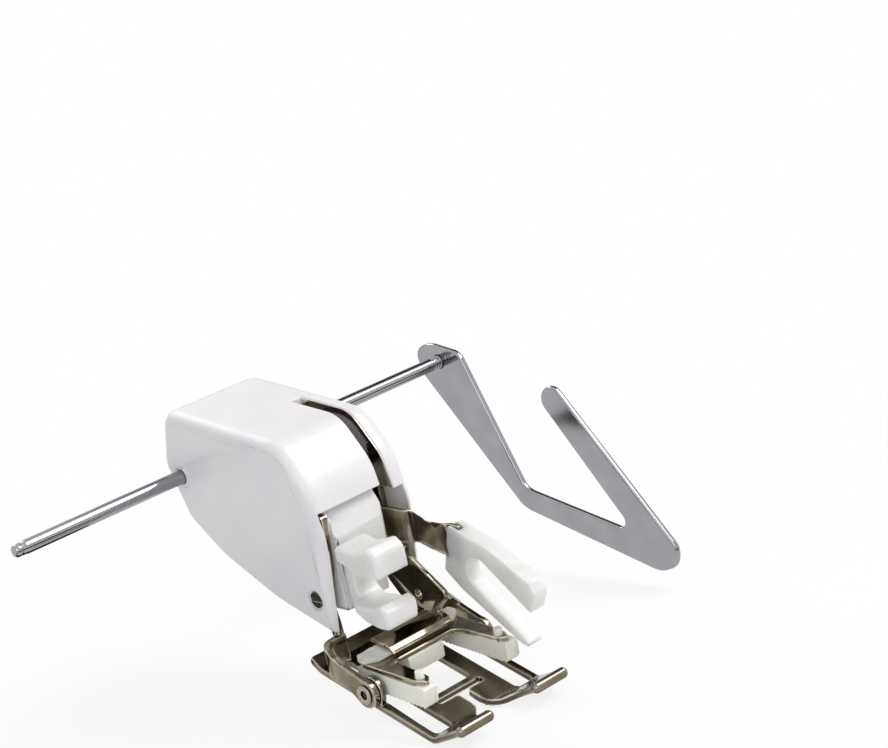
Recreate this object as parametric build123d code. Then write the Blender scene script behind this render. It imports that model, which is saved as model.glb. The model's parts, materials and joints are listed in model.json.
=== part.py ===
"""Low-shank walking foot with a quilting guide: every piece as its own STEP file.

Frame: origin in the clamp's notch, on the axis of the presser bar's screw. +Z goes up along
the presser bar, +X to the right as the sewer sees it, -Y towards the toes. Millimetres.
The pieces are drawn about the middle of the frame and moved to that origin at the end.
"""
import os
from math import acos, cos, pi, sin, tan

from build123d import *

# Fits
RUN = 0.05
GAP = 0.25

# Housing
HOUSE_X = 10.8
WALL = 1.6
HOUSE_ROLL = 2.6
UNDER_ROLL = 0.8
COVER_Z = 16.5
FLANGE_Z = 15.0
SLOT_X0 = 4.6
SLOT_X1 = 7.0
SLOT_REAR = 24.0
SLOT_LOW = 9.0
FLOOR_Y = 16.5
FLANGE_Y = 9.0
FLANGE_TOP = 23.0
PANEL_DEPTH = 0.8
PANEL_SLOPE = 50
FAR = 60.0

# Guide
ROD_Y = 39.9
ROD_Z = 19.7
ROD_R = 1.25
ROD_X0 = -45.7
ROD_TIP = 2.2
RIM_R = 2.0
RIM_SINK = 0.4
BLADE_X = 52.0
BLADE_T = 1.2
ROD_STUB = 0.8
LEAF_T = 0.4
LEAF_X = 3.0

# Frame of bent sheet
SHEET = 1.3
PLATE_IN = 7.8
PLATE_OUT = PLATE_IN + SHEET
ARM_T = 1.2
ARM_IN = 12.7
ARM_OUT = ARM_IN + ARM_T
BACK_Y0 = 6.1
BACK_Y1 = 7.3
WEB_Y0 = 27.0
WEB_Y1 = 28.2
WEB_LOW = 6.2
ARM_BEND = 3.0
ARM_TOP = -5.6

# Hinge of the sole
HINGE_Y = -3.5
HINGE_Z = -12.5
HINGE_R = 1.2
EAR_R = 2.5
DROOP = 16.5

# Sole, measured from the hinge while it lies flat
SOLE_X = 12.45
SOLE_T = 1.2
SOLE_MID = -2.34
SOLE_REAR = 15.4
TOE_BEND = -14.6
TOE_END = -20.2
TOE_RISE = 2.1
LIP_R = 0.95
LIP_END = 0.5
LIP_X0 = 4.9
LIP_X1 = 12.3
RAIL_W = 1.3
SLOT_IN = 7.5
SLOT_OUT = SOLE_X - RAIL_W
SLOT_Y0 = -14.4
SLOT_Y1 = 11.2
NEEDLE_W = 2.2
FINGER_REAR = -8.8
BAR_Y0 = -7.5
BAR_Y1 = -6.2
GATE_X = 4.3
NEEDLE_X = 5.0

# Clamp
NOTCH_R = 2.6
NOTCH_Y = -1.3
NOTCH_Z = 3.6
NECK_X = -7.4
JAW_X0 = -9.4
JAW_X1 = -2.8
JAW_FRONT = -7.9
JAW_REAR = 2.4
JAW_TOP = 11.8
JAW_ROUND = 0.7
CLAMP_X0 = -7.6
CLAMP_X1 = 3.9
CLAMP_Y0 = 3.2
CLAMP_Y1 = 9.4
HEEL_X = 2.2
HEEL_Y = 4.6
CLAMP_TOP = 18.0
BAR_R = 3.6
BAR_BITE = 0.3
NOTCH_X = (NECK_X + JAW_X1) / 2

# Fork lever
LEVER_Y = 22.0
LEVER_Z = 11.0
LEVER_PIN_R = 1.5
LEVER_T = 1.2
LEVER_X = 5.6
LEVER_EYE = 3.2
HUB_R = 2.5
HUB_NECK = 1.9
LEVER_OUT = 12.3
FORK_T = 3.4
FORK_EDGE = 0.3
FORK_ROUND = 0.4
FORK_GAP = 5.6
FORK_TURN = 39.2

# Feed arm and carrier
PIN_Y = 19.5
PIN_Z = 5.6
PIN_R = 1.2
STROKE = 3.2
CHEEK_X0 = 6.5
CHEEK_X1 = 7.5
FOOT_T = 0.9
FOOT_TILT = 10.5
FOOT_Y = -3.0
FOOT_Z = -7.5
FEED_TILT = 4.5
FEED_Y = -3.0
FEED_Z = -9.1
CARRIER_T = 0.9
PAD_X0 = 7.9
PAD_X1 = 10.75
PAD_FRONT = -12.2
PAD_REAR = 4.2
PAD_H = 3.5
PAD_TOOTH = 0.9
TOOTH_DEEP = 0.3
MID_X = 3.9
MID_FRONT = -1.2
PEG_R = 0.75
PEG_X = 9.0
PEG_Y = -9.6
FORK_X0 = PAD_X1 + GAP
FORK_X1 = FORK_X0 + FORK_T

# Springs, each turn of the wire drawn as straight runs
WIRE_R = 0.25
FEED_COIL = 1.45
FEED_PITCH = 1.1
LEVER_COIL = 3.0
LEVER_PITCH = 0.7
TURNS = 5
RUNS = 12


def outline(*corners):
    """Face inside the corners, each (u, v) or (u, v, rounding radius)."""
    joints = []
    for i, corner in enumerate(corners):
        here = Vector(corner[0], corner[1])
        back = (Vector(*corners[i - 1][:2]) - here).normalized()
        ahead = (Vector(*corners[(i + 1) % len(corners)][:2]) - here).normalized()
        if len(corner) < 3:
            joints.append((here, here, here))
            continue
        half = acos(max(-1, min(1, back.dot(ahead)))) / 2
        reach = corner[2] / tan(half)
        mid = here + (back + ahead).normalized() * (corner[2] / sin(half) - corner[2])
        joints.append((here + back * reach, mid, here + ahead * reach))
    edges = []
    for i, (start, mid, end) in enumerate(joints):
        if (end - start).length > 1e-6:
            edges.append(ThreePointArc(start, mid, end))
        after = joints[(i + 1) % len(joints)][0]
        if (after - end).length > 1e-6:
            edges.append(Line(end, after))
    return make_face(edges)


def side(face, x0, x1):
    """Face drawn in Y and Z, made solid from x0 to x1."""
    return extrude(Plane.YZ.offset(x0) * face, amount=x1 - x0, dir=(1, 0, 0))


def plan(face, z0, z1):
    """Face drawn in X and Y, made solid from z0 to z1."""
    return extrude(Plane.XY.offset(z0) * face, amount=z1 - z0, dir=(0, 0, 1))


def block(x0, x1, y0, y1, z0, z1):
    centre = Pos((x0 + x1) / 2, (y0 + y1) / 2, (z0 + z1) / 2)
    return centre * Box(x1 - x0, y1 - y0, z1 - z0)


def pin(y, z, radius, x0, x1):
    return side(Pos(y, z) * Circle(radius), x0, x1)


def both(solid):
    return solid + mirror(solid, about=Plane.YZ)


def at_hinge(solid):
    """A piece drawn flat round the hinge, dropped to the rest pose."""
    return Pos(0, HINGE_Y, HINGE_Z) * Rot(X=DROOP) * solid


def at_feed(solid):
    return Pos(0, FEED_Y, FEED_Z) * Rot(X=FEED_TILT) * solid


# Housing
house_face = outline(
    (5.8, -5.5, 0.6), (20.0, -1.0, 30), (33.0, 5.4, 16), (40.8, 11.6, 6),
    (44.7, 21.6, 6), (41.4, 31.8, 3.2), (11.2, 28.5, 7), (5.2, 21.0, 10), (3.3, 12.0, 10))
inside = HOUSE_X - WALL
outer = side(house_face, -HOUSE_X, HOUSE_X)
outer = fillet([e for e in outer.faces().filter_by(Axis.X).edges() if e.center().Z > 17], HOUSE_ROLL)
hollow = side(offset(house_face, -WALL), -inside, inside)
hollow = chamfer(hollow.faces().filter_by(Axis.X).edges(), UNDER_ROLL)
shell = outer - hollow
shell -= block(-inside, SLOT_X1, -FAR, FLANGE_Y, -FAR, COVER_Z)
shell -= block(SLOT_X0, inside, -FAR, FLANGE_Y, -FAR, FLANGE_Z)
shell -= block(-inside, inside, -FAR, FLOOR_Y, -FAR, 0)
shell -= block(SLOT_X0, SLOT_X1, -FAR, SLOT_REAR, SLOT_LOW, FAR)
panel = outline(
    (ROD_Y + 0.6, ROD_Z + 0.9), (29.5, 24.3, 30), (18.0, 26.8, 8), (10.3, 25.6, 4), (7.7, 16.0, 8),
    (7.2, 4.0, 8), (6.2, -FAR), (FAR, -FAR), (FAR, ROD_Z))
shell -= both(extrude(
    Plane.YZ.offset(HOUSE_X - PANEL_DEPTH) * panel, amount=PANEL_DEPTH + 1, dir=(1, 0, 0), taper=-PANEL_SLOPE))
shell += both(pin(ROD_Y, ROD_Z, RIM_R, inside, HOUSE_X - RIM_SINK))
shell += outer & block(SLOT_X1, inside, 0, FLANGE_Y, FLANGE_Z, FLANGE_TOP)
shell += block(-LEAF_X, LEAF_X, 28.0, 31.0, 24.5, 29.0)
shell -= pin(ROD_Y, ROD_Z, ROD_R + RUN, -FAR, FAR)

SCREW_Y = 9.8
SCREW_Z = 0.6
SCREW_HEAD = 1.5
SCREW_WELL = 1.9
SCREW_R = 1.1
SCREW_SEAT = 0.2
HEAD_T = 0.25
SCREW_SLOT = 0.5
head_x = inside + SCREW_SEAT
shell -= pin(SCREW_Y, SCREW_Z, SCREW_R + RUN, -FAR, FAR)
shell -= both(pin(SCREW_Y, SCREW_Z, SCREW_WELL, head_x, FAR))

touch = ROD_Y - ROD_R - LEAF_T
leaf_line = FilletPolyline(
    (29.5, 28.0), (29.5, 23.0), (touch - 0.4, 22.4), (touch, ROD_Z), (touch - 0.8, 15.0), radius=0.5)
leaf_spring = side(trace(leaf_line, LEAF_T), -LEAF_X + 0.5, LEAF_X - 0.5)
shell -= leaf_spring

# Frame
plate_face = outline(
    (6.6, -3.4), (7.1, -1.0, 2), (6.2, 2.6, 4), (4.9, 6.9, 8), (4.0, 15.9, 0.6), (6.4, 16.2, 1),
    (13.0, 21.0, 2), (WEB_Y1, 16.0, 2), (WEB_Y1, WEB_LOW, 1), (17.0, 0.9, 10), (8.6, -3.2, 1),
    (BACK_Y1, -9.6), (BACK_Y0, -9.6))
left_plate = side(plate_face, -PLATE_OUT, -PLATE_IN)
right_plate = side(plate_face, PLATE_IN, PLATE_OUT)
right_plate -= block(PLATE_IN - 1, PLATE_OUT + 1, 0, FLANGE_Y + GAP, 3.8, 30)
frame = left_plate + right_plate
frame += block(-PLATE_IN, PLATE_IN, WEB_Y0, WEB_Y1, WEB_LOW, 14.0)
arm_mid = ARM_IN + ARM_T / 2
back_mid = (BACK_Y0 + BACK_Y1) / 2
strip_line = FilletPolyline(
    (PLATE_IN, back_mid), (arm_mid, back_mid), (arm_mid, HINGE_Y - 2 * EAR_R), radius=ARM_BEND)
arm_face = outline(
    (BACK_Y1 + 1, ARM_TOP), (BACK_Y1 + 1, -9.8), (4.6, -11.2, 8), (0.4, -12.4, 4),
    (HINGE_Y + 1.6, HINGE_Z - 1.9), (HINGE_Y, HINGE_Z), (HINGE_Y, HINGE_Z + EAR_R),
    (0.9, -8.3, 6), (3.8, -6.9, 3), (5.4, ARM_TOP, 1))
bracket = plan(trace(strip_line, ARM_T), -FAR, FAR) & side(arm_face, 0, FAR)
frame += both(bracket + pin(HINGE_Y, HINGE_Z, EAR_R, ARM_IN, ARM_OUT))
frame -= both(pin(HINGE_Y, HINGE_Z, HINGE_R, ARM_IN - 1, ARM_OUT + 1))
frame -= pin(LEVER_Y, LEVER_Z, LEVER_PIN_R, -FAR, FAR)
frame -= pin(SCREW_Y, SCREW_Z, SCREW_R, -FAR, FAR)
slide_r = PIN_R + RUN
pin_slot = pin(PIN_Y, PIN_Z, slide_r, -FAR, FAR) + pin(PIN_Y + STROKE, PIN_Z, slide_r, -FAR, FAR)
pin_slot += block(-FAR, FAR, PIN_Y, PIN_Y + STROKE, PIN_Z - slide_r, PIN_Z + slide_r)
frame -= pin_slot

lever_pivot_pin = pin(LEVER_Y, LEVER_Z, LEVER_PIN_R, -PLATE_OUT, PLATE_OUT)
screw = pin(SCREW_Y, SCREW_Z, SCREW_HEAD, head_x, head_x + HEAD_T)
screw += pin(SCREW_Y, SCREW_Z, SCREW_R, PLATE_IN, head_x)
slot_low = SCREW_Z - SCREW_SLOT / 2
screw -= block(head_x + HEAD_T / 2, FAR, -FAR, FAR, slot_low, slot_low + SCREW_SLOT)
cover_screws = both(screw)

# Clamp
notch_low = NOTCH_Z - NOTCH_R
notch_high = NOTCH_Z + NOTCH_R
body_side = outline(
    (CLAMP_Y0, -1.2, 0.8), (CLAMP_Y0, 11.8, 1.0), (5.9, 16.2), (6.9, CLAMP_TOP),
    (CLAMP_Y1, CLAMP_TOP), (CLAMP_Y1, -1.2))
body_plan = outline(
    (CLAMP_X0, CLAMP_Y0 - 1), (CLAMP_X1 - 2.4, CLAMP_Y0 - 1), (CLAMP_X1, CLAMP_Y0 + 1.4),
    (CLAMP_X1, CLAMP_Y1), (CLAMP_X0, CLAMP_Y1))
clamp = side(body_side, CLAMP_X0, CLAMP_X1) & plan(body_plan, -FAR, FAR)
clamp -= block(JAW_X1, CLAMP_X1 + 1, 0, HEEL_Y, -FAR, notch_high)
clamp -= block(HEEL_X, CLAMP_X1 + 1, 0, CLAMP_Y1 + 1, -FAR, notch_high)
clamp += block(NECK_X, JAW_X1, NOTCH_Y, CLAMP_Y0 + 1, -0.4, JAW_TOP - 1.2)
upper_face = outline(
    (JAW_FRONT, notch_high + 0.3, 0.6), (JAW_FRONT, JAW_TOP - 1.2, 1.2), (JAW_FRONT + 1.6, JAW_TOP, 1.0),
    (JAW_FRONT + 3.2, JAW_TOP - 0.6, 1.0), (JAW_FRONT + 5.6, JAW_TOP - 1.2, 3),
    (JAW_REAR, JAW_TOP - 0.7, 0.6), (JAW_REAR, 8.3, 0.6), (0.2, 7.7, 1.0), (NOTCH_Y, notch_high))
lower_face = outline(
    (JAW_FRONT, notch_low - 0.2, 0.6), (JAW_FRONT + 1.5, notch_low + 0.6, 0.5),
    (JAW_FRONT + 3.0, notch_low, 0.8), (NOTCH_Y, notch_low), (0.3, 2.5, 0.6), (0.4, -0.4, 1.2),
    (-2.4, -2.0, 2.5), (-5.4, -2.6, 2), (JAW_FRONT, -2.5, 1.0))
for jaw_face in (upper_face, lower_face):
    jaw = side(jaw_face, JAW_X0, JAW_X1)
    clamp += fillet([e for e in jaw.edges() if abs(e.center().X - JAW_X0) < 1e-3], JAW_ROUND)
clamp -= pin(NOTCH_Y, NOTCH_Z, NOTCH_R, JAW_X0 - 1, JAW_X1 + 1)
clamp -= Pos(JAW_X1 + BAR_R - BAR_BITE, NOTCH_Y, 0) * Cylinder(BAR_R, 2 * FAR)
clamp += block(-PLATE_IN, CLAMP_X0 + 0.5, CLAMP_Y0 + 1, CLAMP_Y1, -1.0, 15.0)
RIVET_R = 1.2
RIVET_END = -4.0
RIVETS = ((7.6, 4.5), (6.4, 12.5))
clamp_rivets = Part()
for y, z in RIVETS:
    clamp_rivets += pin(y, z, RIVET_R, -PLATE_OUT, RIVET_END)
clamp -= clamp_rivets
frame -= clamp_rivets

# Fork lever
lever_line = FilletPolyline((LEVER_X, 27), (LEVER_X, 0.4), (LEVER_OUT, -1.2), (LEVER_OUT, -6.0), radius=1.2)
lever_side = outline(
    (LEVER_Y, 14.2), (9.0, 12.3, 6), (-4.8, 12.0), (-4.8, 0.5), (3.0, 0.5), (3.0, 6.7, 2), (9.0, 6.7, 4),
    (LEVER_Y, 7.8))
lever_front = outline(
    (4.0, 16.0), (6.0, 12.0, 2), (8.6, 9.1, 4), (11.7, 7.4, 2), (13.5, 7.2), (13.5, 1.4), (11.7, 1.4, 2),
    (8.6, 4.0, 4), (6.0, 6.8, 3), (4.0, 6.0))
lever_arm = side(lever_side, 0, FAR) + pin(LEVER_Y, LEVER_Z, LEVER_EYE, 0, FAR)
lever_arm &= plan(trace(lever_line, LEVER_T), -FAR, FAR)
lever_arm &= extrude(Plane.XZ * lever_front, amount=FAR, both=True)
lever_arm -= pin(LEVER_Y, LEVER_Z, HUB_NECK, 0, FAR)
hub = pin(LEVER_Y, LEVER_Z, HUB_R, -6.0, LEVER_X - LEVER_T / 2)
hub += pin(LEVER_Y, LEVER_Z, HUB_NECK, LEVER_X - LEVER_T / 2, LEVER_X + LEVER_T / 2)
lever_hub = hub - pin(LEVER_Y, LEVER_Z, LEVER_PIN_R + RUN, -FAR, FAR)
fork_face = outline(
    (0.4, -0.9, 0.8), (-2.6, 7.6, 0.8), (-8.4, 5.6, 8), (-11.4, 4.6, 8), (-20.2, -0.5, 1.2),
    (-21.2, -2.6, 1.0), (-19.2, -6.2), (-17.6, -8.0), (-17.6, -11.4), (-17.0, -12.5), (-15.6, -12.2),
    (-9.4, -8.2, 6), (-3.2, -4.2, 6))
fork_root = Circle(FORK_GAP / 2) + Pos(-FAR / 2, 0) * Rectangle(FAR, FORK_GAP)
fork_face -= Pos(-8.1, -0.7) * Rot(Z=FORK_TURN) * fork_root
fork = side(fork_face, FORK_X0, FORK_X1)
fork = fillet([e for e in fork.edges().filter_by(Axis.X) if e.center().Y < -14], FORK_ROUND)
fork = chamfer(fork.faces().filter_by(Axis.X).edges(), FORK_EDGE)
fork_tip = fork - lever_arm

# Sole
sole_line = FilletPolyline(
    (SOLE_REAR, SOLE_MID + 1.0), (12.6, SOLE_MID), (TOE_BEND, SOLE_MID), (TOE_END, TOE_RISE), radius=2.6)
sole_plan = outline(
    (-SOLE_X, SOLE_REAR + 1, 2), (SOLE_X, SOLE_REAR + 1, 2), (SOLE_X, -24), (LIP_X0, -24),
    (LIP_X0, -17.0, 2.5), (NEEDLE_W / 2, -13.0, 2.5), (NEEDLE_W / 2, FINGER_REAR, 0.6),
    (NEEDLE_X, FINGER_REAR, 0.3), (NEEDLE_X, BAR_Y0, 0.3), (-NEEDLE_X, BAR_Y0, 0.3),
    (-NEEDLE_X, FINGER_REAR, 0.3), (-NEEDLE_W / 2, FINGER_REAR, 0.6),
    (-NEEDLE_W / 2, -13.0, 2.5), (-LIP_X0, -17.0, 2.5), (-LIP_X0, -24), (-SOLE_X, -24))
sole_flat = side(trace(sole_line, SOLE_T), -SOLE_X, SOLE_X) & plan(sole_plan, -FAR, FAR)
slot = outline(
    (SLOT_IN, SLOT_Y0, 1.2), (SLOT_OUT, SLOT_Y0, 1.2), (SLOT_OUT, SLOT_Y1, 1), (SLOT_IN, SLOT_Y1, 1))
sole_flat -= both(plan(slot, -FAR, FAR))
gate = outline(
    (-GATE_X, BAR_Y1, 0.8), (GATE_X, BAR_Y1, 0.8), (GATE_X, SLOT_Y1, 1), (-GATE_X, SLOT_Y1, 1))
sole_flat -= plan(gate, -FAR, FAR)
lip = pin(TOE_END, TOE_RISE, LIP_R, LIP_X0, LIP_X1)
lip = chamfer(lip.edges().filter_by(GeomType.CIRCLE), LIP_END)
sole_flat += both(lip)
EAR_X1 = ARM_IN - GAP
EAR_X0 = EAR_X1 - ARM_T
ear_face = outline((-EAR_R, SOLE_MID - 0.4), (EAR_R, SOLE_MID - 0.4), (EAR_R, 0), (-EAR_R, 0))
ear = side(ear_face, EAR_X0, EAR_X1) + pin(0, 0, EAR_R, EAR_X0, EAR_X1)
sole_flat += both(ear)
sole_flat -= both(pin(0, 0, HINGE_R + RUN, EAR_X0 - 1, EAR_X1 + 1))
sole = at_hinge(sole_flat)
HEAD_R = 1.7
HEAD_H = 0.3
DIMPLE_R = 0.8
DIMPLE = 0.7
rivet_top = ARM_OUT + HEAD_H
rivet = pin(HINGE_Y, HINGE_Z, HINGE_R, EAR_X0, ARM_OUT) + pin(HINGE_Y, HINGE_Z, HEAD_R, ARM_OUT, rivet_top)
sole_rivets = both(rivet - pin(HINGE_Y, HINGE_Z, DIMPLE_R, rivet_top - DIMPLE, FAR))

# Feed arm
cheek_face = outline(
    (PIN_Y - 1.5, PIN_Z + 1.6), (8.0, 4.4, 6), (3.5, 2.8, 4), (-4.1, -2.8, 1.0), (-3.7, -4.0, 0.8),
    (-0.9, -6.5, 0.4), (-2.4, FOOT_Z + 0.1), (-2.6, FOOT_Z - FOOT_T), (2.4, -7.4, 1), (7.6, -5.4, 1.5),
    (10.2, -2.4, 1.5), (12.4, 1.6, 3), (PIN_Y - 1.5, PIN_Z - 1.6))
cheek = side(cheek_face, CHEEK_X0, CHEEK_X1) + pin(PIN_Y, PIN_Z, 2.2, CHEEK_X0, CHEEK_X1)
cheek -= pin(3.0, -4.0, 0.7, 0, FAR)
cheek -= pin(PIN_Y, PIN_Z, PIN_R + RUN, 0, FAR)
FOOT_X = -6.2
foot_face = outline(
    (5.2, 0), (0.4, 0, 0.5), (-0.5, -0.5, 0.4), (-0.6, -1.1, 0.2), (-0.1, -1.1, 0.2), (0.2, -FOOT_T),
    (5.2, -FOOT_T))
foot = Pos(0, FOOT_Y, FOOT_Z) * Rot(X=FOOT_TILT) * side(foot_face, FOOT_X, CHEEK_X1)
feed_arm = cheek + foot
slider_pin = pin(PIN_Y, PIN_Z, PIN_R, -PLATE_OUT, PLATE_OUT)

# Carrier under the feed arm
wing = outline(
    (0, 4.1), (9.4, 4.1, 1.2), (10.7, 2.8, 1.0), (10.4, -9.6, 1.0), (9.2, -12.0, 0.4),
    (7.9, -10.6, 0.6), (7.3, -3.0, 3), (6.4, MID_FRONT, 1.0), (0, MID_FRONT))
carrier = both(plan(wing, -CARRIER_T, 0))
peg_hole = both(Pos(PEG_X, PEG_Y, 0) * Cylinder(PEG_R, 10))
carrier -= peg_hole
bar_face = outline(
    (-10.6, 4.1, 0.5), (10.6, 4.1, 0.5), (10.9, 2.4, 0.6), (7.0, -0.4, 1.0), (-7.0, -0.4, 1.0),
    (-10.9, 2.4, 0.6))
feed_bar = at_feed(plan(bar_face, 0, 3)) & (
    Pos(0, FOOT_Y, FOOT_Z) * Rot(X=FOOT_TILT) * block(-FAR, FAR, 0.3, FAR, -6, -FOOT_T))
feed_bar -= feed_arm
carrier_plate = at_feed(carrier)


def pad(x0, x1, front, rear):
    """Serrated block that hangs under the carrier plate."""
    low = -CARRIER_T - PAD_H
    corners = [(rear, -CARRIER_T), (front, -CARRIER_T, 0.4), (front, low + 0.5)]
    y = front + 0.5
    while y < rear - PAD_TOOTH:
        corners.append((y, low))
        corners.append((y + PAD_TOOTH * 0.7, low + TOOTH_DEEP))
        y += PAD_TOOTH
    corners.append((rear, low))
    return side(outline(*corners), x0, x1)


PEG_TOP = 0.5
peg = Pos(-PEG_X, PEG_Y, 0) * Cylinder(PEG_R, CARRIER_T * 2 + PEG_TOP)
left = pad(-PAD_X1, -PAD_X0, PAD_FRONT, PAD_REAR) + peg
feed_pad_left = at_feed(left)
feed_pad_right = at_feed(mirror(left, about=Plane.YZ))
feed_pad_centre = at_feed(pad(-MID_X, MID_X, MID_FRONT, PAD_REAR - 0.6))

# Guide
rod = pin(ROD_Y, ROD_Z, ROD_R, ROD_X0 + ROD_TIP, BLADE_X + BLADE_T + ROD_STUB)
tip = pin(ROD_Y, ROD_Z, ROD_R - 0.25, ROD_X0, ROD_X0 + ROD_TIP)
guide_rod = rod + chamfer(tip.faces().sort_by(Axis.X)[0].edges(), 0.4)
blade_face = outline(
    (46.2, 21.6, 1.6), (42.2, 23.3, 1.6), (34.0, 21.9, 1.2), (22.6, -4.4, 3.2), (-4.2, -10.0, 0.7),
    (14.6, 14.4, 1.2), (10.2, 17.2, 1.6), (5.9, 12.6, 1.6), (-14.3, -11.7, 1.6), (-13.2, -15.4, 2.2),
    (-9.0, -16.9, 1.4), (24.0, -8.4, 5), (45.6, 17.2, 2.0))
guide_blade = side(blade_face, BLADE_X, BLADE_X + BLADE_T) - pin(ROD_Y, ROD_Z, ROD_R + RUN, 0, FAR)


def coil(radius, pitch):
    """Spring about Z: wire of six flats along straight runs."""
    steps = [2 * pi * i / RUNS for i in range(TURNS * RUNS + 1)]
    path = Polyline(*[(radius * cos(a), radius * sin(a), pitch * a / (2 * pi)) for a in steps])
    start = Plane(path @ 0, z_dir=path % 0)
    return sweep(start * RegularPolygon(WIRE_R, 6), path=path, transition=Transition.RIGHT)


# Springs
feed_spring = Pos(-3.0, PIN_Y + PIN_R + 2 * WIRE_R, PIN_Z + 0.6) * Rot(X=-90) * coil(FEED_COIL, FEED_PITCH)
lever_spring = Pos(-2.0, LEVER_Y, LEVER_Z) * Rot(Y=90) * coil(LEVER_COIL, LEVER_PITCH)

NODES = {
    "housing": shell, "frame": frame, "shank_clamp": clamp, "clamp_rivets": clamp_rivets,
    "cover_screws": cover_screws, "lever_pivot_pin": lever_pivot_pin, "sole_rivets": sole_rivets,
    "guide_leaf_spring": leaf_spring, "lever_arm": lever_arm, "lever_hub": lever_hub, "fork_tip": fork_tip,
    "slider_pin": slider_pin, "feed_arm": feed_arm, "feed_bar": feed_bar, "carrier_plate": carrier_plate,
    "feed_pad_left": feed_pad_left, "feed_pad_right": feed_pad_right, "feed_pad_centre": feed_pad_centre,
    "sole": sole, "guide_rod": guide_rod, "guide_blade": guide_blade, "feed_spring": feed_spring,
    "lever_spring": lever_spring,
}
os.makedirs("parts", exist_ok=True)
for name, solid in NODES.items():
    placed = Pos(-NOTCH_X, -NOTCH_Y, -NOTCH_Z) * solid
    placed.label = name
    export_step(placed, f"parts/{name}.step")
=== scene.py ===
"""Looks of a low-shank walking foot with a quilting guide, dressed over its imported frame."""
import itertools
import json
import math

import bmesh
import bpy
from mathutils import Matrix, Vector


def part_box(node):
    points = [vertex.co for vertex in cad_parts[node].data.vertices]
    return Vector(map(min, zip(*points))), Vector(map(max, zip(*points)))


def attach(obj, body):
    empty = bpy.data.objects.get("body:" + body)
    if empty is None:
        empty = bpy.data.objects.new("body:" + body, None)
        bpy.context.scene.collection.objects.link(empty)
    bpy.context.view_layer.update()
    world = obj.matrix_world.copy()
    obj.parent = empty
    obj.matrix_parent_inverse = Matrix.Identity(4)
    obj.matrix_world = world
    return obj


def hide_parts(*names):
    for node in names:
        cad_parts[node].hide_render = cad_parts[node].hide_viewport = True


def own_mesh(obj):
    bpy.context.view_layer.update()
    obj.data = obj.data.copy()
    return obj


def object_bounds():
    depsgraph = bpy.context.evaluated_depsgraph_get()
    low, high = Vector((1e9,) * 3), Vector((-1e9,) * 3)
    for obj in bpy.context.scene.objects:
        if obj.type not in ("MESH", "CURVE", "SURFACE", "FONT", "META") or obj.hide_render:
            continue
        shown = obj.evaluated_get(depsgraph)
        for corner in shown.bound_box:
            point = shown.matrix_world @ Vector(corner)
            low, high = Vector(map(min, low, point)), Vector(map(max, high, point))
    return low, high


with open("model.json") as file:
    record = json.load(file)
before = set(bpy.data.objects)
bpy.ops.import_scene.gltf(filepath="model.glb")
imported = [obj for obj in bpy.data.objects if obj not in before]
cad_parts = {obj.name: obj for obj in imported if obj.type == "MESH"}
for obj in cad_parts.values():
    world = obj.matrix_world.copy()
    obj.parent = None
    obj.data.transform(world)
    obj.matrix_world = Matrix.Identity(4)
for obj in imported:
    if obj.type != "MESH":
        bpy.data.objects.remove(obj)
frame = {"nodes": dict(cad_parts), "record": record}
cad_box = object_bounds()
MM = 0.001

# View of the photograph: the camera looks at SIGHT from SIGHT_FAR away, tipped by SIGHT_ROLL
IMAGE_WIDTH = 888
SIGHT = Vector((0.02349, -0.00008, 0.02829))
SIGHT_FAR = 0.40218
SIGHT_AZIMUTH = math.radians(-39.75)
SIGHT_ELEVATION = math.radians(15.54)
SIGHT_ROLL = math.radians(11.85)
FOCAL_PIXELS = 2400
SENSOR = 36.0
NEAREST = 0.01

# Table: all white from SHADOW_FAR mm on, and nearer than SHADOW_NEAR mm white by SHADOW_SHARE over its shadow
TABLE_SIZE = 6
FLOOR_DROP = 0.0004
PAPER = (1.0, 1.0, 1.0)
SHADOW_NEAR = 60
SHADOW_FAR = 160
SHADOW_SHARE = 0.84
# Strength of the white room as light; the camera and every gloss see it at 1
ROOM_LIGHT = 0.42
# Soft boxes: place, side, power and tone
SOFT_BOXES = {
    "key": ((0.30, -0.25, 0.50), 0.30, 2.4, (1.0, 0.98, 0.97)),
    "fill": ((-0.45, -0.40, 0.30), 0.40, 0.9, (0.95, 0.955, 1.0)),
    "rim": ((0.05, 0.55, 0.45), 0.30, 0.9, (1.0, 1.0, 1.0)),
}
# Dark cards that only gloss shows: place from the table, size across and up, where they face
CARDS = {
    "card_front": ((0.0, -0.28, 0.0008), (0.9, 0.46), (0, 0, 1)),
    "card_left": ((-0.10, 0.058, 0.0008), (0.19, 0.054), (0, 0, 1)),
    "card_back": ((0.10, 0.172, 0.043), (0.085, 0.078), (-0.64, -0.77, 0)),
    "card_right": ((0.33, 0.22, 0.355), (0.30, 0.24), (-0.65, -0.45, -0.6)),
}
CARD_SHADE = (0.02, 0.018, 0.016)
CARD_NAP = (0.028, 0.0252, 0.0224)


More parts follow.
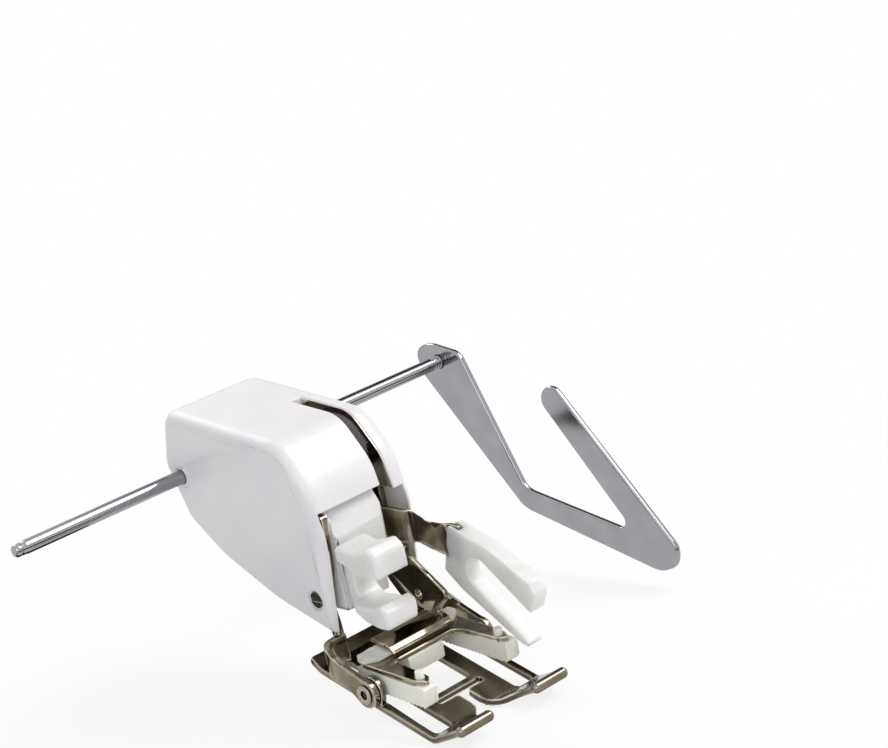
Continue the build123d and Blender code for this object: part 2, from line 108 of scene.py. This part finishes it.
class Wire:
    """An output socket whose arithmetic adds the nodes for it."""

    def __init__(self, nodes, socket):
        self.nodes = nodes
        self.socket = socket

    def _do(self, operation, other, turned=False):
        first, second = (other, self) if turned else (self, other)
        return self.nodes.node("ShaderNodeMath", {"operation": operation}, {0: first, 1: second})

    def __add__(self, other):
        return self._do("ADD", other)

    def __radd__(self, other):
        return self._do("ADD", other, True)

    def __sub__(self, other):
        return self._do("SUBTRACT", other)

    def __rsub__(self, other):
        return self._do("SUBTRACT", other, True)

    def __mul__(self, other):
        return self._do("MULTIPLY", other)

    def __rmul__(self, other):
        return self._do("MULTIPLY", other, True)

    def __truediv__(self, other):
        return self._do("DIVIDE", other)

    def __rtruediv__(self, other):
        return self._do("DIVIDE", other, True)

    def stretch(self, factors):
        """A vector, each axis times its factor."""
        return self.nodes.node("ShaderNodeVectorMath", {"operation": "MULTIPLY"}, {0: self, 1: factors})

    def clipped(self):
        """This value, kept from 0 to 1."""
        return self._do("MAXIMUM", 0.0)._do("MINIMUM", 1.0)

    def held(self, low, high):
        """A value from low to high as this one goes from 0 to 1."""
        return low + self * (high - low)


def port(sockets, key):
    """The socket with this number, or the one in use that has this name."""
    if isinstance(key, int):
        return sockets[key]
    return next(socket for socket in sockets if socket.name == key and socket.enabled)


class Nodes:
    """A node tree, and the one method that adds to it."""

    def __init__(self, tree):
        self.tree = tree

    def plug(self, value, socket):
        """A wire, a number or a colour goes into a socket."""
        if isinstance(value, Wire):
            self.tree.links.new(value.socket, socket)
        elif socket.type == "RGBA":
            socket.default_value = (*value, 1)
        else:
            socket.default_value = value

    def node(self, kind, settings=None, sockets=None, output=0):
        """An output of a new node of this kind, with its settings and what its sockets take."""
        made = self.tree.nodes.new(kind)
        for name, value in (settings or {}).items():
            if name == "stops":
                stops = made.color_ramp.elements
                while len(stops) < len(value):
                    stops.new(0.5)
                for stop, (at, colour) in zip(stops, value):
                    stop.position = at
                    stop.color = (*colour, 1)
            else:
                setattr(made, name, value)
        for key, value in (sockets or {}).items():
            self.plug(value, port(made.inputs, key))
        return Wire(self, port(made.outputs, output))

    def seen_share(self):
        """1 for what the camera sees directly, in a gloss or through glass, otherwise 0."""
        seen = ("Is Camera Ray", "Is Glossy Ray", "Is Transmission Ray")
        rays = [self.node("ShaderNodeLightPath", output=ray) for ray in seen]
        return sum(rays[1:], rays[0]).clipped()


# Rays for a look round a point, and how its free share becomes a share of painted corner shade or of lightened
# edge, which is partly wear and partly painted highlight
LOOK_RAYS = 8
CORNER_SHADE_GAIN = 2.4
CORNER_SHADE_START = 0.25
WEAR_SHEEN_GAIN = 2.6
WEAR_SHEEN_START = 0.2


class Finish(Nodes):
    """A material with one Principled surface, and the nodes that feed it."""

    def __init__(self, name, **constants):
        self.material = bpy.data.materials.new(name)
        self.material.use_nodes = True
        super().__init__(self.material.node_tree)
        self.surface = self.tree.nodes["Principled BSDF"]
        self.feed(**constants)
        place = self.node("ShaderNodeTexCoord", output="Object")
        self.place = place.stretch((1 / MM, 1 / MM, 1 / MM))

    def noise(self, per_mm, detail=2.0, place=None):
        return self.node("ShaderNodeTexNoise", sockets={
            "Vector": place or self.place, "Scale": per_mm, "Detail": detail})

    def ramp(self, value, *stops):
        return self.node("ShaderNodeValToRGB", {"stops": stops}, {"Fac": value})

    def mix(self, share, first, second):
        return self.node(
            "ShaderNodeMix", {"data_type": "RGBA"}, {"Factor": share, "A": first, "B": second}, "Result")

    def bump(self, height, strength, depth):
        """A normal that the height tips, as if it were so many mm deep."""
        return self.node("ShaderNodeBump", sockets={"Height": height, "Strength": strength, "Distance": depth * MM})

    def corner_shade_share(self, reach):
        """Near 1 deep in a corner and 0 in the open, judged within a reach in mm; it sets where shade is painted
        into the colour.
        """
        free = self.node("ShaderNodeAmbientOcclusion", {"samples": LOOK_RAYS}, {"Distance": reach * MM}, "AO")
        return ((1.0 - free) * CORNER_SHADE_GAIN - CORNER_SHADE_START).clipped()

    def edge_wear_and_sheen(self, reach):
        """Near 1 along an outer edge and 0 on the flat, judged within a reach in mm; it sets where edges are
        lightened, partly as wear and partly as painted highlight.
        """
        solid = self.node(
            "ShaderNodeAmbientOcclusion", {"samples": LOOK_RAYS, "inside": True, "only_local": True},
            {"Distance": reach * MM}, "AO")
        return ((1.0 - solid) * WEAR_SHEEN_GAIN - WEAR_SHEEN_START).clipped()

    def feed(self, **values):
        """The surface takes these values or wires, each by its socket's name."""
        for socket, value in values.items():
            self.plug(value, self.surface.inputs[socket.replace("_", " ")])
        return self.material


def white_shell():
    """Satin moulded plastic: faint flow tint, fine mould grain."""
    finish = Finish("white_shell", Coat_Roughness=0.25, IOR=1.46, Subsurface_Weight=0.08, Subsurface_Scale=0.0012)
    flow = finish.noise(0.11, 3)
    grain = finish.noise(9.0, 2)
    tint = finish.ramp(flow, (0.35, (0.80, 0.79, 0.815)), (0.65, (0.84, 0.825, 0.84)))
    return finish.feed(
        Base_Color=tint, Roughness=finish.noise(0.8, 3).held(0.30, 0.42),
        Coat_Weight=flow.held(0.10, 0.25), Normal=finish.bump(grain, 0.05, 0.02))


def milky_nylon():
    """Natural nylon that lets light in."""
    finish = Finish(
        "milky_nylon", IOR=1.53, Subsurface_Weight=0.9, Subsurface_Scale=0.0035,
        Subsurface_Radius=(1.0, 0.95, 0.85))
    cloud = finish.noise(0.35, 4)
    tint = finish.ramp(cloud, (0.3, (0.73, 0.735, 0.722)), (0.7, (0.80, 0.80, 0.792)))
    return finish.feed(
        Base_Color=tint, Roughness=cloud.held(0.28, 0.42), Normal=finish.bump(finish.noise(5.0, 3), 0.06, 0.03))


def ivory_pad():
    """Harder ivory nylon of the feed pads."""
    finish = Finish("ivory_pad", IOR=1.52, Subsurface_Weight=0.25, Subsurface_Scale=0.0012)
    cloud = finish.noise(0.5, 4)
    tint = finish.ramp(cloud, (0.3, (0.90, 0.895, 0.815)), (0.7, (0.94, 0.94, 0.885)))
    return finish.feed(
        Base_Color=tint, Roughness=cloud.held(0.36, 0.5), Normal=finish.bump(finish.noise(4.0, 3), 0.08, 0.03))


def nickel_sheet():
    """Warm nickel plating over rolled sheet, with the rolling marks left in, painted shade darkening its corners
    and recesses, and edges lightened partly as wear and partly as painted highlight.
    """
    finish = Finish("nickel_sheet", Metallic=1.0)
    rolled = finish.noise(1.2, 4, finish.place.stretch((5.0, 5.0, 0.6)))
    stain = finish.noise(0.28, 5)
    tint = finish.ramp(
        stain, (0.28, (0.16, 0.13, 0.085)), (0.55, (0.28, 0.245, 0.175)), (0.8, (0.43, 0.39, 0.31)))
    # Painted shade: the colour darkens in corners and recesses, where shade falls
    corner_shaded = finish.mix(finish.corner_shade_share(2.5) * 0.6, tint, (0.09, 0.07, 0.045))
    # Lighter edges: partly wear, partly a painted highlight
    worn_and_sheen = finish.mix(finish.edge_wear_and_sheen(0.45), corner_shaded, (0.80, 0.74, 0.62))
    return finish.feed(Base_Color=worn_and_sheen, Roughness=rolled.held(0.06, 0.17), Normal=finish.bump(rolled, 0.08, 0.015))


def polished_sole():
    """Darker nickel, buffed along the way the cloth runs, with painted shade darkening its recesses, and edges
    lightened partly as wear where cloth rubs and partly as painted highlight.
    """
    finish = Finish("polished_sole", Metallic=1.0)
    buffed = finish.noise(1.6, 3, finish.place.stretch((8.0, 0.6, 3.0)))
    stain = finish.noise(0.22, 4)
    tint = finish.ramp(stain, (0.3, (0.15, 0.125, 0.088)), (0.7, (0.255, 0.225, 0.172)))
    # Painted shade: the colour darkens in recesses, where shade falls
    corner_shaded = finish.mix(finish.corner_shade_share(6.0), tint, (0.06, 0.048, 0.032))
    # Lighter edges: partly wear, partly a painted highlight
    worn_and_sheen = finish.mix(finish.edge_wear_and_sheen(0.45), corner_shaded, (0.84, 0.79, 0.68))
    return finish.feed(Base_Color=worn_and_sheen, Roughness=buffed.held(0.10, 0.24), Normal=finish.bump(buffed, 0.05, 0.01))


def guide_chrome():
    """Bright chrome of the guide, lightly scuffed along the rod."""
    finish = Finish("guide_chrome", Metallic=1.0)
    scuff = finish.noise(0.12, 3, finish.place.stretch((0.3, 1.5, 1.5)))
    tint = finish.ramp(scuff, (0.3, (0.31, 0.315, 0.33)), (0.7, (0.36, 0.365, 0.38)))
    return finish.feed(
        Base_Color=tint, Roughness=scuff.held(0.07, 0.12), Normal=finish.bump(finish.noise(6.0, 2), 0.02, 0.005))


def dull_nickel():
    """Plain turned heads of rivets and screws, with painted shade darkening the middle."""
    finish = Finish("dull_nickel", Metallic=1.0)
    turned = finish.noise(1.5, 3)
    tint = finish.ramp(turned, (0.3, (0.30, 0.27, 0.21)), (0.7, (0.48, 0.44, 0.37)))
    # Painted shade: the colour darkens in the hollow middle, where shade falls
    middle_shaded = finish.mix(finish.corner_shade_share(1.2), tint, (0.05, 0.04, 0.028))
    return finish.feed(Base_Color=middle_shaded, Roughness=turned.held(0.16, 0.28), Normal=finish.bump(turned, 0.06, 0.01))


def spring_steel():
    """Bare spring wire and strip, dark and a little dull."""
    finish = Finish("spring_steel", Metallic=1.0)
    drawn = finish.noise(2.0, 3)
    tint = finish.ramp(drawn, (0.3, (0.06, 0.056, 0.05)), (0.7, (0.15, 0.14, 0.13)))
    return finish.feed(Base_Color=tint, Roughness=drawn.held(0.28, 0.42), Normal=finish.bump(drawn, 0.08, 0.01))


FINISHES = {make.__name__: make() for make in (
    white_shell, milky_nylon, ivory_pad, nickel_sheet, polished_sole, guide_chrome, dull_nickel, spring_steel)}
# Pieces whose finish isn't named after their slot
OWN_FINISH = {"sole_rivets_dressed": "dull_nickel", "cover_screws_dressed": "dull_nickel"}

# Width in mm of the broken edge on each piece, wider on moulded ones
EDGE = {
    "housing": 0.3, "shank_clamp": 0.3, "fork_tip": 0.3, "feed_bar": 0.3, "feed_pad_left": 0.12,
    "feed_pad_right": 0.12, "feed_pad_centre": 0.12, "frame": 0.25, "sole": 0.22, "lever_arm": 0.25,
    "feed_arm": 0.25, "carrier_plate": 0.2, "sole_rivets": 0.12, "cover_screws": 0.1, "lever_hub": 0.2,
    "lever_pivot_pin": 0.15, "slider_pin": 0.15, "clamp_rivets": 0.15, "guide_leaf_spring": 0.1,
    "feed_spring": 0.06, "lever_spring": 0.06,
}
EDGE_STEPS = 3
# An edge is broken from SHARP on, and shaded as a crease from CREASE on
SHARP = math.radians(55)
CREASE = math.radians(58)
# Faces within FLAT join; points within WELD are one
FLAT = math.radians(0.3)
WELD = 0.002 * MM
# No room for a broken edge: sides shorter than CROWDED, or sharp edges that meet within NARROW
CROWDED = 0.1 * MM
NARROW = math.radians(35)


def breakable(form):
    """Sharp edges with enough room at both ends to be broken."""
    sharp = [edge for edge in form.edges if len(edge.link_faces) == 2 and edge.calc_face_angle() > SHARP]
    tight = {corner for edge in form.edges if edge.calc_length() < CROWDED for corner in edge.verts}
    ways = {corner: [] for corner in form.verts}
    for edge in sharp:
        for corner in edge.verts:
            ways[corner].append(edge.other_vert(corner).co - corner.co)
    for corner, rays in ways.items():
        if any(first.angle(second) < NARROW for first, second in itertools.combinations(rays, 2)):
            tight.add(corner)
    return [edge for edge in sharp if not tight.intersection(edge.verts)]


def placed(name, data):
    """A new object in the scene."""
    thing = bpy.data.objects.new(name, data)
    bpy.context.scene.collection.objects.link(thing)
    return thing


def finished(form, name, width, body, slot, *nodes):
    """The form as a piece on its body, edges broken and in its finish, in place of the nodes."""
    bmesh.ops.remove_doubles(form, verts=form.verts, dist=WELD)
    bmesh.ops.bevel(
        form, geom=breakable(form), offset=width * MM, offset_type="OFFSET", segments=EDGE_STEPS, profile=0.5,
        affect="EDGES", clamp_overlap=False, loop_slide=False)
    bmesh.ops.dissolve_limit(form, angle_limit=FLAT, verts=form.verts, edges=form.edges)
    mesh = bpy.data.meshes.new(name)
    form.to_mesh(mesh)
    form.free()
    piece = placed(name, mesh)
    mesh.shade_smooth()
    mesh.set_sharp_from_angle(angle=CREASE)
    soft = piece.modifiers.new("soft_shade", "WEIGHTED_NORMAL")
    soft.keep_sharp = True
    mesh.materials.clear()
    mesh.materials.append(FINISHES[OWN_FINISH.get(name, slot)])
    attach(piece, body)
    if nodes:
        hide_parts(*nodes)
    return piece


def dressed(node, body, slot):
    """The node's own shape with its edges broken."""
    form = bmesh.new()
    form.from_mesh(frame["nodes"][node].data)
    return finished(form, f"{node}_dressed", EDGE[node], body, slot, node)


def pressed_coil(piece, node, joint):
    """The coil gets a mesh of its own; the share it would shorten by as the slider pin rises with the joint is
    worked out and not used.
    """
    low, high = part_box(node)
    joints = frame["record"]["behaviour"]["joints"]
    stroke = next(entry["range_m"][1] for entry in joints if entry["name"] == joint)
    1 - stroke / (high[1] - low[1])
    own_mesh(piece)


def thickened(form, way):
    """The form's faces become a solid sheet that goes the given way."""
    raised = bmesh.ops.extrude_face_region(form, geom=form.faces[:], use_keep_orig=True)
    moved = [part for part in raised["geom"] if isinstance(part, bmesh.types.BMVert)]
    bmesh.ops.translate(form, verts=moved, vec=way)
    bmesh.ops.recalc_face_normals(form, faces=form.faces)


# Guide blade: (y, z, rounding) in mm of each corner of the bent strip, going round it
BLADE_CORNERS = (
    (47.5, 18.0, 2.4), (43.5, 19.7, 6.0), (35.3, 18.3, 3.0), (23.9, -8.0, 3.2), (-2.9, -13.6, 1.4),
    (15.9, 10.8, 2.5), (11.6, 14.3, 2.5), (-13.0, -15.3, 3.2), (-11.9, -19.0, 3.2), (-7.7, -20.5, 6.0),
    (25.3, -12.0, 6.0), (46.9, 13.6, 2.4))
BLADE_EDGE = 0.4
HOLE_ROOM = 0.05
ARC_STEPS = 8
HOLE_STEPS = 32


def arc_at(before, corner, after, radius):
    """Points of the arc that rounds a corner."""
    back = (before - corner).normalized()
    ahead = (after - corner).normalized()
    half = back.angle(ahead) / 2
    middle = corner + (back + ahead).normalized() * (radius / math.sin(half))
    start = corner + back * (radius / math.tan(half)) - middle
    sweep = start.angle_signed(corner + ahead * (radius / math.tan(half)) - middle)
    return [middle + Matrix.Rotation(-sweep * step / ARC_STEPS, 2) @ start for step in range(ARC_STEPS + 1)]


def guide_strip(body, slot):
    """The bent strip of the guide, with round corners and a hole for the rod."""
    low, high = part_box("guide_blade")
    rod_low, rod_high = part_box("guide_rod")
    corners = [Vector(corner[:2]) for corner in BLADE_CORNERS]
    rim = []
    for place, corner in enumerate(corners):
        after = corners[(place + 1) % len(corners)]
        rim += arc_at(corners[place - 1], corner, after, BLADE_CORNERS[place][2])
    middle = Vector(((rod_low[1] + rod_high[1]) / 2, (rod_low[2] + rod_high[2]) / 2)) / MM
    radius = (rod_high[1] - rod_low[1]) / 2 / MM + HOLE_ROOM
    turns = [2 * math.pi * step / HOLE_STEPS for step in range(HOLE_STEPS)]
    hole = [middle + radius * Vector((math.cos(turn), math.sin(turn))) for turn in turns]
    form = bmesh.new()
    for loop in (rim, hole):
        ring = [form.verts.new((low[0], y * MM, z * MM)) for y, z in loop]
        for first, second in zip(ring, ring[1:] + ring[:1]):
            form.edges.new((first, second))
    bmesh.ops.triangle_fill(form, edges=form.edges[:], use_beauty=True)
    thickened(form, (high[0] - low[0], 0, 0))
    bmesh.ops.dissolve_limit(form, angle_limit=FLAT, verts=form.verts, edges=form.edges)
    finished(form, "guide_strip", BLADE_EDGE, body, slot, "guide_blade")


# Guide rod in mm: the turned tip as (way along, radius), the rings by the blade, the chamfer past it
ROD_RADIUS = 1.25
ROD_TIP = (
    (0.0, 0.0), (0.0, 0.7), (0.12, 0.95), (0.4, 1.1), (0.95, 1.16), (1.0, 0.99), (1.3, 0.99), (1.35, 1.16),
    (2.1, 1.16), (2.35, ROD_RADIUS))
ROD_RINGS = (2.1, 1.4, 0.7)
ROD_RING = ((0.0, ROD_RADIUS), (0.08, 1.07), (0.32, 1.07), (0.4, ROD_RADIUS))
ROD_BACK = ((-0.25, ROD_RADIUS), (0.0, 1.0), (0.0, 0.0))
ROD_STEPS = 40
ROD_EDGE = 0.03


def turned_rod(body, slot):
    """The round bar that the blade turns on, with its turned ends."""
    low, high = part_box("guide_rod")
    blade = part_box("guide_blade")[0][0]
    line = [(low[0] + along * MM, radius) for along, radius in ROD_TIP]
    for ring in ROD_RINGS:
        line += [(blade + (along - ring) * MM, radius) for along, radius in ROD_RING]
    line += [(high[0] + along * MM, radius) for along, radius in ROD_BACK]
    middle = Vector((0, (low[1] + high[1]) / 2, (low[2] + high[2]) / 2))
    form = bmesh.new()
    points = [form.verts.new(middle + Vector((along, 0, radius * MM))) for along, radius in line]
    for first, second in zip(points, points[1:]):
        form.edges.new((first, second))
    bmesh.ops.spin(
        form, geom=form.verts[:] + form.edges[:], cent=middle, axis=(1, 0, 0), angle=2 * math.pi, steps=ROD_STEPS,
        use_merge=True)
    bmesh.ops.remove_doubles(form, verts=form.verts, dist=WELD)
    bmesh.ops.recalc_face_normals(form, faces=form.faces)
    finished(form, "turned_rod", ROD_EDGE, body, slot, "guide_rod")


# Nickel sheet against the cover's cheek, put there as painted shade for the dark seen in the lever's slot, in mm:
# the cheek's faces look towards -X
SHADE_SHEET_X = 12.1
SHADE_SHEET_NEAR = 0.02
SHADE_SHEET_FACING = -0.99
SHADE_SHEET_T = 0.12
SHADE_SHEET_EDGE = 0.03
SHADE_SHEET_BORDER = 0.25


def slot_shade_sheet(body, slot):
    """Thin nickel sheet on the faces of the cover that look into the slot, put there as painted shade."""
    form = bmesh.new()
    form.from_mesh(frame["nodes"]["housing"].data)
    away = [
        face for face in form.faces
        if face.normal.x > SHADE_SHEET_FACING or abs(face.calc_center_median().x / MM - SHADE_SHEET_X) > SHADE_SHEET_NEAR]
    bmesh.ops.delete(form, geom=away, context="FACES")
    ring = bmesh.ops.inset_region(
        form, faces=form.faces[:], thickness=SHADE_SHEET_BORDER * MM, use_boundary=True, use_even_offset=True)
    bmesh.ops.delete(form, geom=ring["faces"], context="FACES")
    thickened(form, (-SHADE_SHEET_T * MM, 0, 0))
    finished(form, "slot_shade_sheet", SHADE_SHEET_EDGE, body, slot)


# Rolled lips of the toes in mm: where each runs across the foot, the roll's middle (y, z), radius and overhang
LIP_RUNS = ((-7.2, 0.2), (10.0, 17.4))
LIP_MIDDLE = (-22.165, -19.824)
LIP_RADIUS = 0.97
LIP_OVERHANG = 0.27
LIP_ROUND = 24
LIP_RINGS = 15
LIP_EDGE = 0.05


def toe_lips(body, slot):
    """Round-ended rolls over the plainer ones of the sole."""
    form = bmesh.new()
    for start, end in LIP_RUNS:
        middle = Vector(((start + end) / 2, *LIP_MIDDLE)) * MM
        reach = ((end - start) / 2 + LIP_OVERHANG - LIP_RADIUS) * MM
        ball = bmesh.ops.create_uvsphere(
            form, u_segments=LIP_ROUND, v_segments=LIP_RINGS, radius=LIP_RADIUS * MM,
            matrix=Matrix.Rotation(math.pi / 2, 4, "Y"))
        for point in ball["verts"]:
            point.co += middle + Vector((math.copysign(reach, point.co.x), 0, 0))
    finished(form, "toe_lips", LIP_EDGE, body, slot)


# Nodes with a shape of their own here, and pieces added beside a node, with the node whose slot they take
OWN_SHAPE = {"guide_blade": guide_strip, "guide_rod": turned_rod}
# The housing gets a nickel sheet as painted shade in its slot; the sole gets round lips
ADDED = {"housing": (slot_shade_sheet, "frame"), "sole": (toe_lips, "sole")}


def dress():
    """Every node of the frame gets its piece."""
    slot_of = {entry["node"]: entry["material_slot"] for entry in frame["record"]["subparts"]}
    for body, nodes in frame["record"]["behaviour"]["bodies"].items():
        for node in nodes:
            if node in OWN_SHAPE:
                OWN_SHAPE[node](body, slot_of[node])
                continue
            if node in ADDED:
                make, like = ADDED[node]
                make(body, slot_of[like])
            piece = dressed(node, body, slot_of[node])
            if node == "feed_spring":
                pressed_coil(piece, node, "feed_stroke")


def lamp(name, spot, size, power, tone):
    """A square soft box that faces the foot."""
    light = bpy.data.lights.new(name, "AREA")
    light.energy = power
    light.size = size
    light.color = tone
    stand = placed(name, light)
    stand.location = spot
    stand.rotation_euler = (SIGHT - Vector(spot)).to_track_quat("-Z", "Y").to_euler()


def dark_card(name, spot, wide, high, faces, felt):
    """A card that shows in gloss and nowhere else."""
    sheet = bpy.data.meshes.new(name)
    corners = [
        (-wide / 2, -high / 2, 0), (wide / 2, -high / 2, 0), (wide / 2, high / 2, 0), (-wide / 2, high / 2, 0)]
    sheet.from_pydata(corners, [], [(0, 1, 2, 3)])
    sheet.materials.append(felt)
    card = placed(name, sheet)
    card.location = spot
    card.rotation_euler = Vector(faces).to_track_quat("Z", "Y").to_euler()
    card.visible_camera = False
    card.visible_diffuse = False
    card.visible_transmission = False
    card.visible_shadow = False


def table_paper():
    """White paper that keeps a share of the shadow near the foot."""
    paper = Finish("paper", Roughness=0.9)
    paper.feed(Base_Color=paper.ramp(paper.noise(0.02, 2), (0.3, (0.90, 0.90, 0.90)), (0.7, (0.93, 0.93, 0.93))))
    glow = paper.node("ShaderNodeEmission", sockets={"Color": PAPER, "Strength": 1.0})
    away = paper.node("ShaderNodeVectorMath", {"operation": "LENGTH"}, {0: paper.place}, "Value")
    far = ((away - SHADOW_NEAR) / (SHADOW_FAR - SHADOW_NEAR)).clipped()
    share = paper.seen_share() * far.held(SHADOW_SHARE, 1.0)
    matt = Wire(paper, paper.surface.outputs[0])
    blend = paper.node("ShaderNodeMixShader", sockets={0: share, 1: matt, 2: glow})
    paper.plug(blend, paper.tree.nodes["Material Output"].inputs["Surface"])
    return paper.material


def studio():
    """White table and room, soft boxes above and at the sides, dark cards for the metal."""
    low = cad_box[0][2] - FLOOR_DROP
    bpy.ops.mesh.primitive_plane_add(size=TABLE_SIZE, location=(0, 0, low))
    table = bpy.context.object
    table.name = "table"
    table.data.materials.append(table_paper())
    world = bpy.data.worlds.new("white_room")
    bpy.context.scene.world = world
    world.use_nodes = True
    room = Nodes(world.node_tree)
    backdrop = room.tree.nodes["Background"]
    room.plug(PAPER, backdrop.inputs["Color"])
    room.plug(room.seen_share().held(ROOM_LIGHT, 1.0), backdrop.inputs["Strength"])
    for name, settings in SOFT_BOXES.items():
        lamp(name, *settings)
    felt = Finish("felt", Roughness=1.0)
    felt.feed(Base_Color=felt.mix(felt.noise(0.05), CARD_SHADE, CARD_NAP))
    for name, (spot, (wide, high), faces) in CARDS.items():
        dark_card(name, Vector(spot) + Vector((0, 0, low)), wide, high, faces, felt.material)


def camera():
    """The photograph's own view."""
    lens = bpy.data.cameras.new("photo_view")
    lens.sensor_width = SENSOR
    lens.lens = FOCAL_PIXELS / IMAGE_WIDTH * SENSOR
    lens.clip_start = NEAREST
    seat = placed("photo_view", lens)
    away = Vector((
        math.sin(SIGHT_AZIMUTH) * math.cos(SIGHT_ELEVATION), -math.cos(SIGHT_AZIMUTH) * math.cos(SIGHT_ELEVATION),
        math.sin(SIGHT_ELEVATION)))
    across = Vector((math.cos(SIGHT_AZIMUTH), math.sin(SIGHT_AZIMUTH), 0))
    upright = away.cross(across)
    right = across * math.cos(SIGHT_ROLL) - upright * math.sin(SIGHT_ROLL)
    turned = Matrix((right, away.cross(right), away)).transposed()
    seat.matrix_world = Matrix.Translation(SIGHT + away * SIGHT_FAR) @ turned.to_4x4()
    bpy.context.scene.camera = seat


dress()
studio()
camera()
bpy.context.scene.view_settings.view_transform = "Standard"
